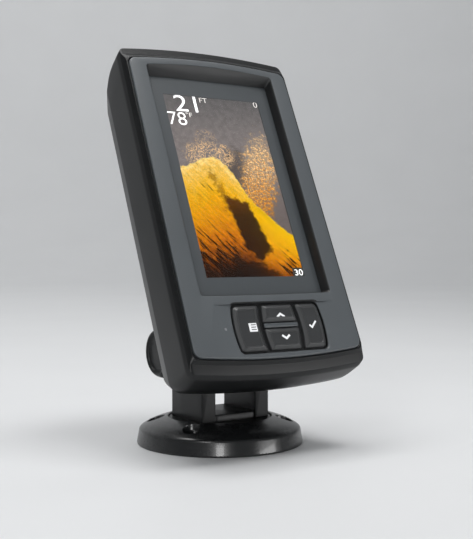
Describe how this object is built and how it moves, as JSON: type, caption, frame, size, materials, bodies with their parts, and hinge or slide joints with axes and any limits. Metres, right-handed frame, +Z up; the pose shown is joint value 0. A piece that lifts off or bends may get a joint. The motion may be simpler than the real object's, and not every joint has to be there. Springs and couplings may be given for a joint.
{
  "type": "fish finder",
  "caption": "Portrait fish finder with a colour screen and front keys, on a round deck base with a swivel bracket, a tilt pivot and side knobs.",
  "frame": {"origin": "centre of the base's underside, on the swivel axis", "axes": "+Z up along the swivel axis, +X across the screen to the viewer's right, the screen faces -Y and leans back"},
  "size_m": [0.0962, 0.0938, 0.1909],
  "materials": {
    "housing_black": "fine satin texture",
    "bezel_grey": "fine matt texture",
    "key_charcoal": "matt with white symbols",
    "lens_clear": "clear window with a grey printed border",
    "screen": "lit colour picture",
    "light_guide": "milky",
    "tray_metal": "pressed sheet",
    "seal_rubber": "soft black",
    "foam_grey": "closed-cell foam",
    "board_green": "solder mask",
    "chip_black": "moulded",
    "coil_copper": "wound and varnished",
    "can_metal": "drawn can",
    "header_white": "moulded",
    "switch_metal": "pressed",
    "mat_silicone": "silicone",
    "led_white": "clear",
    "screw_steel": "stainless",
    "socket_black": "moulded",
    "pin_gold": "gold plated",
    "insert_brass": "machined",
    "washer_rubber": "friction rubber",
    "mount_black": "polished",
    "nylon_white": "nylon",
    "pad_foam": "closed-cell foam"
  },
  "bodies": {
    "base": {"mounting_base": "mount_black", "base_pad": "pad_foam", "swivel_washer": "nylon_white"},
    "bracket": {"swivel_bracket": "mount_black", "retaining_washer": "screw_steel", "swivel_screw": "screw_steel"},
    "head": {"rear_housing": "housing_black", "front_bezel": "bezel_grey", "case_gasket": "seal_rubber", "display_lens": "lens_clear", "lens_seal": "seal_rubber", "lcd_panel": "screen", "backlight": "light_guide", "display_tray": "tray_metal", "display_foam": "foam_grey", "main_board": "board_green", "processor": "chip_black", "board_chips": "chip_black", "sonar_transformer": "coil_copper", "capacitors": "can_metal", "buzzer": "chip_black", "socket_headers": "header_white", "key_switches": "switch_metal", "keypad_mat": "mat_silicone", "status_led": "led_white", "light_pipe": "led_white", "case_screws": "screw_steel", "power_socket": "socket_black", "power_pins": "pin_gold", "transducer_socket": "socket_black", "transducer_pins": "pin_gold", "socket_seals": "seal_rubber", "socket_nuts": "socket_black", "pivot_inserts": "insert_brass", "tilt_washers": "washer_rubber"},
    "washer_left": {"knob_washer_left": "nylon_white"},
    "knob_left": {"knob_left": "housing_black", "knob_stud_left": "screw_steel"},
    "washer_right": {"knob_washer_right": "nylon_white"},
    "knob_right": {"knob_right": "housing_black", "knob_stud_right": "screw_steel"},
    "key_menu": {"key_menu": "key_charcoal"},
    "key_up": {"key_up": "key_charcoal"},
    "key_down": {"key_down": "key_charcoal"},
    "key_enter": {"key_enter": "key_charcoal"}
  },
  "joints": [
    {"name": "swivel", "type": "hinge", "parent": "base", "child": "bracket", "pos_m": [0, 0, 0.01], "axis": [0, 0, 1], "range_deg": [-180, 180]},
    {"name": "tilt", "type": "hinge", "parent": "bracket", "child": "head", "pos_m": [0, 0, 0.045], "axis": [-1, 0, 0], "range_deg": [-20, 40]},
    {"name": "knob_left_slide", "type": "slide", "parent": "head", "child": "washer_left", "axis": [-1, 0, 0], "range_m": [0, 0.003]},
    {"name": "knob_left_turn", "type": "hinge", "parent": "washer_left", "child": "knob_left", "pos_m": [0, 0, 0.045], "axis": [-1, 0, 0], "range_deg": [0, 1078]},
    {"name": "knob_right_slide", "type": "slide", "parent": "head", "child": "washer_right", "axis": [1, 0, 0], "range_m": [0, 0.003]},
    {"name": "knob_right_turn", "type": "hinge", "parent": "washer_right", "child": "knob_right", "pos_m": [0, 0, 0.045], "axis": [1, 0, 0], "range_deg": [0, 1078]},
    {"name": "press_menu", "type": "slide", "parent": "head", "child": "key_menu", "axis": [0, 0.9092, -0.4163], "range_m": [0, 0.0007], "stiffness_N_per_m": 1500, "springref_m": -0.0003},
    {"name": "press_up", "type": "slide", "parent": "head", "child": "key_up", "axis": [0, 0.9092, -0.4163], "range_m": [0, 0.0007], "stiffness_N_per_m": 1500, "springref_m": -0.0003},
    {"name": "press_down", "type": "slide", "parent": "head", "child": "key_down", "axis": [0, 0.9092, -0.4163], "range_m": [0, 0.0007], "stiffness_N_per_m": 1500, "springref_m": -0.0003},
    {"name": "press_enter", "type": "slide", "parent": "head", "child": "key_enter", "axis": [0, 0.9092, -0.4163], "range_m": [0, 0.0007], "stiffness_N_per_m": 1500, "springref_m": -0.0003}
  ],
  "couplings": [
    {"joint": "knob_left_slide", "follows": "knob_left_turn", "m_per_rad": 0.00015915},
    {"joint": "knob_right_slide", "follows": "knob_right_turn", "m_per_rad": 0.00015915}
  ]
}
